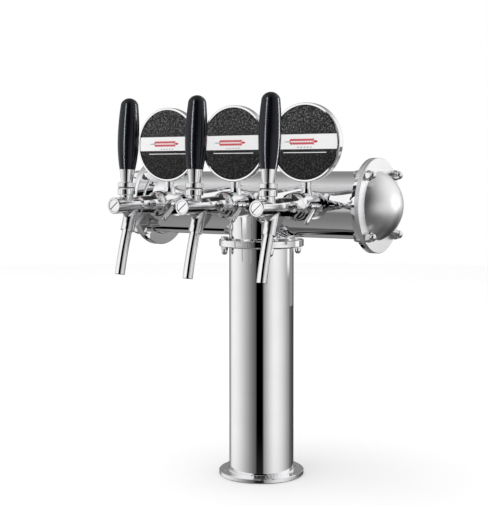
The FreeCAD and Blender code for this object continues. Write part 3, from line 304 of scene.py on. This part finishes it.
def studio():
    """White for the camera. In reflections: a soft box on each side, a black card behind the camera,
    grey walls and ceiling, a grey table front and a dark gap below the back. Angles are in degrees,
    turned from the camera's direction, to the right if positive, and up from level."""
    world = bpy.data.worlds.new("studio")
    bpy.context.scene.world = world
    world.use_nodes = True
    graph = Graph(world.node_tree)
    way = graph.add("ShaderNodeTexCoord").outputs["Generated"]
    towards = (math.sin(CAMERA_AZIMUTH), -math.cos(CAMERA_AZIMUTH), 0)
    rightwards = (math.cos(CAMERA_AZIMUTH), math.sin(CAMERA_AZIMUTH), 0)
    turn = graph.math("ARCTAN2", graph.dot(way, rightwards), graph.dot(way, towards))
    turn = graph.math("DEGREES", turn)
    aside = graph.math("ABSOLUTE", turn)
    rise = graph.math("DEGREES", graph.math("ARCSINE", graph.dot(way, (0, 0, 1))))
    forward = graph.dot(way, (0, -1, 0))
    pitch = graph.math("DEGREES", graph.math("ARCTAN2", graph.dot(way, (0, 0, 1)), forward))

    def panel(tone, strength, left, left_full, right_full, right):
        """A panel over tone, at full strength between its full edges and fading to its outer edges."""
        inside = graph.math("MULTIPLY", graph.between(turn, left, left_full),
                            graph.between(turn, right, right_full))
        return graph.mix(inside, tone, strength)

    level = panel(DARK_WALL, SOFT_BOX, -165, -125, -112, -6)
    level = panel(level, SOFT_BOX, -12, 50, 50, 143)
    level = panel(level, BLACK, -22, -15, 3, 10)
    high = panel(GREY_WALL, WHITE_PANEL, -165, -75, -38, -25)
    high = panel(high, WHITE_PANEL, 10, 85, 130, 170)
    high = panel(high, BLACK, -30, -24, 15, 21)
    low = graph.mix(graph.between(aside, 20.0, 110.0), TABLE_FRONT, TABLE_SIDE)
    tone = graph.mix(graph.between(rise, 0.0, 12.0), level, high)
    tone = graph.mix(graph.between(rise, 42.0, 75.0), tone, CEILING)
    tone = graph.mix(graph.between(rise, -13.0, -24.0), tone, low)
    tone = graph.mix(graph.between(rise, -60.0, -78.0), tone, TABLE_SIDE)
    gap = graph.math("MULTIPLY", graph.between(pitch, -127.0, -121.0),
                     graph.between(pitch, -103.0, -107.0))
    gap = graph.math("MULTIPLY", gap, graph.between(rise, -30.0, -38.0))
    tone = graph.mix(gap, tone, BLACK)

    def window(turns, rises, soft, strength, tone):
        """One more panel: from and to these angles, with soft edges, as bright as strength."""
        inside = graph.math("MULTIPLY", graph.between(turn, turns[0] - soft, turns[0] + soft),
                            graph.between(turn, turns[1] + soft, turns[1] - soft))
        inside = graph.math("MULTIPLY", inside, graph.between(rise, rises[0] - 0.6, rises[0] + 0.6))
        inside = graph.math("MULTIPLY", inside, graph.between(rise, rises[1] + 4.0, rises[1] - 4.0))
        return graph.mix(inside, tone, strength)

    tone = window((108, 176), (-46, -18), 6, BLACK, tone)
    tone = window((105, 140), (-5.2, 12), 6, FULL_WHITE, tone)
    tone = window((-73, -55), (-2.9, 6), 2, FULL_WHITE, tone)

    reflected = graph.add("ShaderNodeBackground", inputs={"Color": tone, "Strength": 1.05})
    seen = graph.add("ShaderNodeBackground", inputs={"Color": 1.0, "Strength": 1.0})
    path = graph.add("ShaderNodeLightPath")
    plain = graph.math("MAXIMUM", path.outputs["Is Camera Ray"], path.outputs["Is Diffuse Ray"])
    pick = graph.add("ShaderNodeMixShader", inputs={"Fac": plain})
    graph.tree.links.new(reflected.outputs[0], pick.inputs[1])
    graph.tree.links.new(seen.outputs[0], pick.inputs[2])
    output = graph.add("ShaderNodeOutputWorld")
    graph.tree.links.new(pick.outputs[0], output.inputs["Surface"])
    bpy.context.scene.view_settings.view_transform = "Standard"


def floor():
    mesh = bpy.data.meshes.new("floor")
    built = bmesh.new()
    bmesh.ops.create_circle(built, cap_ends=True, segments=96, radius=3.0)
    built.to_mesh(mesh)
    plane = bpy.data.objects.new("floor", mesh)
    bpy.context.scene.collection.objects.link(plane)
    plane.location.z = cad_box[0].z - 0.0002
    material, graph, shader, place = surface("floor_paint")
    cloud = graph.noise(place, 3.0, 3.0)
    graph.feed(shader.inputs["Base Color"], graph.ramp(cloud, [(0.3, 0.975), (0.7, 0.98)]))
    shader.inputs["Roughness"].default_value = 0.9
    shader.inputs["Specular IOR Level"].default_value = 0.0
    mesh.materials.append(material)
    plane.visible_glossy = False


def card(name, place, width, height, tone):
    """A plain card that stands beside the subject and shows in its reflections only."""
    built = bmesh.new()
    bmesh.ops.create_grid(built, x_segments=8, y_segments=8, size=0.5)
    mesh = bpy.data.meshes.new(name)
    built.to_mesh(mesh)
    built.free()
    stand = bpy.data.objects.new(name, mesh)
    bpy.context.scene.collection.objects.link(stand)
    stand.location = place
    stand.scale = (width, height, 1)
    stand.rotation_mode = "QUATERNION"
    stand.rotation_quaternion = Vector((place[0], place[1], 0)).to_track_quat("Z", "Y")
    material, graph, shader, local = surface(name + "_paper")
    grain = graph.noise(local, 6.0, 2.0)
    shades = graph.ramp(grain, [(0.3, linear(tone - 6)), (0.7, linear(tone + 6))])
    graph.feed(shader.inputs["Emission Color"], shades)
    shader.inputs["Emission Strength"].default_value = 1.0
    shader.inputs["Base Color"].default_value = (0, 0, 0, 1)
    shader.inputs["Specular IOR Level"].default_value = 0.0
    mesh.materials.append(material)
    stand.visible_camera = False
    stand.visible_diffuse = False
    stand.visible_shadow = False


def lamp(name, place, target, size, power, receivers=None):
    """An area light aimed at a point. size is a diameter, or a width and a height.
    With receivers, it lights the nodes of those kinds only, as a flag-shaded studio lamp would."""
    data = bpy.data.lights.new(name, "AREA")
    if isinstance(size, tuple):
        data.shape = "RECTANGLE"
        data.size, data.size_y = size
    else:
        data.shape = "DISK"
        data.size = size
    data.energy = power
    light = bpy.data.objects.new(name, data)
    bpy.context.scene.collection.objects.link(light)
    light.location = place
    light.rotation_mode = "QUATERNION"
    light.rotation_quaternion = (Vector(target) - Vector(place)).to_track_quat("-Z", "Y")
    if receivers:
        lit = bpy.data.collections.new(name + "_lights")
        for node_name, node in frame["nodes"].items():
            if node_name.startswith(receivers):
                lit.objects.link(node)
        light.light_linking.receiver_collection = lit
    return light


def camera():
    data = bpy.data.cameras.new("camera")
    data.sensor_width = 36.0
    data.lens = LENS
    data.shift_x, data.shift_y = SHIFT
    eye = bpy.data.objects.new("camera", data)
    bpy.context.scene.collection.objects.link(eye)
    eye.location = CAMERA_PLACE
    eye.rotation_euler = (math.pi / 2 - CAMERA_PITCH, 0, CAMERA_AZIMUTH)
    bpy.context.scene.camera = eye


# ---------------------------------------------------------------- badges

CROWN = 0.4 * MM
BAND = (-7.3 * MM, 9.0 * MM)
RULE = (-11.4 * MM, -10.6 * MM)
RULE_HALF_LENGTH = 27 * MM
BACK_SHARE = 0.93


def piece(name, built, materials, body="tower"):
    """A finished mesh piece: closed, smooth-shaded below 35 degrees, riding on a body."""
    bmesh.ops.recalc_face_normals(built, faces=built.faces)
    mesh = bpy.data.meshes.new(name)
    built.to_mesh(mesh)
    built.free()
    for material in materials:
        mesh.materials.append(material)
    mesh.shade_smooth()
    mesh.set_sharp_from_angle(angle=math.radians(35))
    thing = bpy.data.objects.new(name, mesh)
    bpy.context.scene.collection.objects.link(thing)
    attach(thing, body)
    return thing


def turned(built, profile, centre, segments=128):
    """Turns a closed outline of (radius, y) points about the line along Y through the centre."""
    rings = []
    for radius, y in profile:
        if radius == 0:
            rings.append([built.verts.new((centre.x, y, centre.z))])
            continue
        ring = []
        for i in range(segments):
            angle = 2 * math.pi * i / segments
            x, z = centre.x + radius * math.cos(angle), centre.z + radius * math.sin(angle)
            ring.append(built.verts.new((x, y, z)))
        rings.append(ring)
    for first, second in zip(rings, rings[1:] + rings[:1]):
        if len(first) == len(second) == 1:
            continue
        for i in range(segments):
            corners = [first[i % len(first)], first[(i + 1) % len(first)],
                       second[(i + 1) % len(second)], second[i % len(second)]]
            unique = []
            for corner in corners:
                if corner not in unique:
                    unique.append(corner)
            built.faces.new(unique)


def crowned(radius, disc_radius, front):
    return front + CROWN * (radius / disc_radius) ** 2


def thicken(built, faces, depth):
    """Gives a sheet of faces a back and sides, depth behind it."""
    made = bmesh.ops.extrude_face_region(built, geom=faces)
    bmesh.ops.translate(built, verts=[v for v in made["geom"] if isinstance(v, bmesh.types.BMVert)],
                        vec=(0, depth, 0))


def across_disc(built, centre, radius, front, heights, half_length, lift, rows=6, columns=48):
    """A printed strip across the crowned disc, its ends on the disc's edge or at half_length."""
    grid = []
    for row in range(rows + 1):
        height = heights[0] + (heights[1] - heights[0]) * row / rows
        reach = min(half_length, math.sqrt(radius * radius - height * height))
        line = []
        for column in range(columns + 1):
            x = reach * (2 * column / columns - 1)
            y = crowned(math.hypot(x, height), radius, front) - lift
            line.append(built.verts.new((centre.x + x, y, centre.z + height)))
        grid.append(line)
    faces = []
    for low, high in zip(grid, grid[1:]):
        for i in range(columns):
            faces.append(built.faces.new((low[i], low[i + 1], high[i + 1], high[i])))
    thicken(built, faces, 2 * lift)


def leaf(built, centre, front, place, size, angle, material):
    """A pointed oval, the grain of an ear of barley."""
    points = 14
    corners = []
    for i in range(points):
        turn = 2 * math.pi * i / points
        x = size[0] * math.cos(turn)
        z = size[1] * math.sin(turn) * abs(math.sin(turn)) ** 0.4
        along = place[0] + x * math.cos(angle) - z * math.sin(angle)
        up = place[1] + x * math.sin(angle) + z * math.cos(angle)
        corners.append(built.verts.new((centre.x + along, front, centre.z + up)))
    face = built.faces.new(corners)
    face.material_index = material
    thicken(built, [face], 0.3 * MM)


def make_badge(side):
    low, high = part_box("badge_face_" + side)
    centre = (low + high) / 2
    radius = (high.x - low.x) / 2
    front, back = low.y, high.y
    steps = 16
    profile = [(radius * i / steps, crowned(radius * i / steps, radius, front)) for i in range(steps)]
    profile += [(radius - 0.2 * MM, front + CROWN), (radius, front + CROWN + 0.2 * MM),
                (radius, back), (0, back)]
    disc = bmesh.new()
    turned(disc, profile, centre)
    ground = piece("badge_print_" + side, disc, [MATERIALS["badge_print"]])
    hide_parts("badge_face_" + side)

    lift = 0.06 * MM
    inner = radius - 0.3 * MM
    band = bmesh.new()
    across_disc(band, centre, inner, front, BAND, inner, lift)
    across_disc(band, centre, inner, front, RULE, RULE_HALF_LENGTH, lift)
    piece("badge_band_" + side, band, [BAND_WHITE])

    mark = bmesh.new()
    level = sum(BAND) / 2
    proud = front - 0.1 * MM
    for i in range(9):
        along = (-17 + 3.4 * i) * MM
        for sign in (-1, 1):
            place = (along, level + sign * 1.9 * MM)
            leaf(mark, centre, proud, place, (2.3 * MM, 1.15 * MM), sign * 0.55, 0)
    leaf(mark, centre, proud, (13.6 * MM, level), (3.0 * MM, 1.3 * MM), 0.0, 0)
    leaf(mark, centre, proud, (-21.5 * MM, level), (4.5 * MM, 0.45 * MM), 0.0, 1)
    for i in range(5):
        place = ((-8 + 4 * i) * MM, BAND[0] + 2.0 * MM)
        leaf(mark, centre, proud, place, (1.3 * MM, 0.5 * MM), 0.0, 1)
    piece("badge_mark_" + side, mark, [MARK_RED, MARK_GREY])


def make_badge_back(side):
    """A plain white disc on the back of the badge housing, its edge rounded."""
    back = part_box("badge_housing_" + side)[1].y
    face_low, face_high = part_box("badge_face_" + side)
    centre = (face_low + face_high) / 2
    radius = BACK_SHARE * (face_high.x - face_low.x) / 2
    disc = bmesh.new()
    profile = [(0, back - 0.1 * MM), (radius, back - 0.1 * MM), (radius, back + 0.1 * MM),
               (radius - 0.3 * MM, back + 0.35 * MM), (0, back + 0.5 * MM)]
    turned(disc, profile, centre)
    piece("badge_back_" + side, disc, [BAND_WHITE])


for side in SIDES:
    make_badge(side)
    make_badge_back(side)


# ---------------------------------------------------------------- weld beads

TUBE_RADIUS = 38.1 * MM
CROSS_HEIGHT = 320 * MM
BEAD_SIZE = 1.3 * MM
BEAD_INSET = 0.6 * MM
BEAD_STANDOFF = 0.3 * MM
BEAD_RIPPLES = 60
SADDLE_SIZE = 1.0 * MM
SADDLE_ROUNDING = 3 * MM
SADDLE_RIPPLES = 80


def bead(name, points, size, ripples):
    """A rounded weld bead along a closed run of points, its thickness faintly scalloped."""
    built = bmesh.new()
    sides = 10
    count = len(points)
    rings = []
    for i, point in enumerate(points):
        along = (points[(i + 1) % count] - points[i - 1]).normalized()
        if abs(point.x) < 2 * TUBE_RADIUS:
            outward = Vector((point.x, point.y, 0))
        else:
            outward = Vector((0, point.y, point.z - CROSS_HEIGHT))
        across = outward - along * outward.dot(along)
        across.normalize()
        upward = along.cross(across)
        thick = size * (1 + 0.03 * math.sin(2 * math.pi * ripples * i / count))
        ring = []
        for k in range(sides):
            turn = 2 * math.pi * k / sides
            spot = point + across * thick * math.cos(turn)
            ring.append(built.verts.new(spot + upward * thick * math.sin(turn)))
        rings.append(ring)
    for i in range(count):
        first, second = rings[i], rings[(i + 1) % count]
        for k in range(sides):
            built.faces.new((first[k], first[(k + 1) % sides], second[(k + 1) % sides], second[k]))
    piece(name, built, [MATERIALS["tower_steel"]])


def make_welds():
    turns = [2 * math.pi * i / 360 for i in range(360)]
    column_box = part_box("column_tube")
    neck_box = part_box("neck_tube")
    cross_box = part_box("cross_tube")
    reach = TUBE_RADIUS + BEAD_STANDOFF
    for name, height in (("weld_column_foot", column_box[0].z + BEAD_INSET),
                         ("weld_column_top", column_box[1].z - BEAD_INSET),
                         ("weld_neck_foot", neck_box[0].z + BEAD_INSET)):
        ring = [Vector((reach * math.cos(a), reach * math.sin(a), height)) for a in turns]
        bead(name, ring, BEAD_SIZE, BEAD_RIPPLES)
    for name, x in (("weld_end_left", cross_box[0].x + BEAD_INSET),
                    ("weld_end_right", cross_box[1].x - BEAD_INSET)):
        ring = [Vector((x, reach * math.cos(a), CROSS_HEIGHT + reach * math.sin(a))) for a in turns]
        bead(name, ring, BEAD_SIZE, BEAD_RIPPLES)
    saddle = []
    for a in turns:
        side = reach * math.cos(a)
        drop = math.sqrt(side * side + SADDLE_ROUNDING ** 2)
        saddle.append(Vector((side, reach * math.sin(a), CROSS_HEIGHT - drop)))
    bead("weld_saddle", saddle, SADDLE_SIZE, SADDLE_RIPPLES)


make_welds()


# ---------------------------------------------------------------- picture

camera()
studio()
floor()
card("grey_card", (0.16, 0.56, 0.28), 0.26, 0.3, 150)
lamp("handle_left_strip", (-0.235, -1.312, 0.45), (0, -0.136, 0.4), (0.12, 1.2), 12.0, ("handle",))
lamp("handle_right_strip", (0.853, 0.708, 0.45), (0, -0.136, 0.4), (0.12, 1.2), 12.0, ("handle",))
lamp("cap_light", (0.957, 0.629, 0.36), (0.18, 0, 0.32), 0.5, 0.9, ("end_cap",))
key = lamp("key", (-0.5, -0.8, 2.4), (0, 0, 0.1), 2.0, 14.0)
key.visible_glossy = False
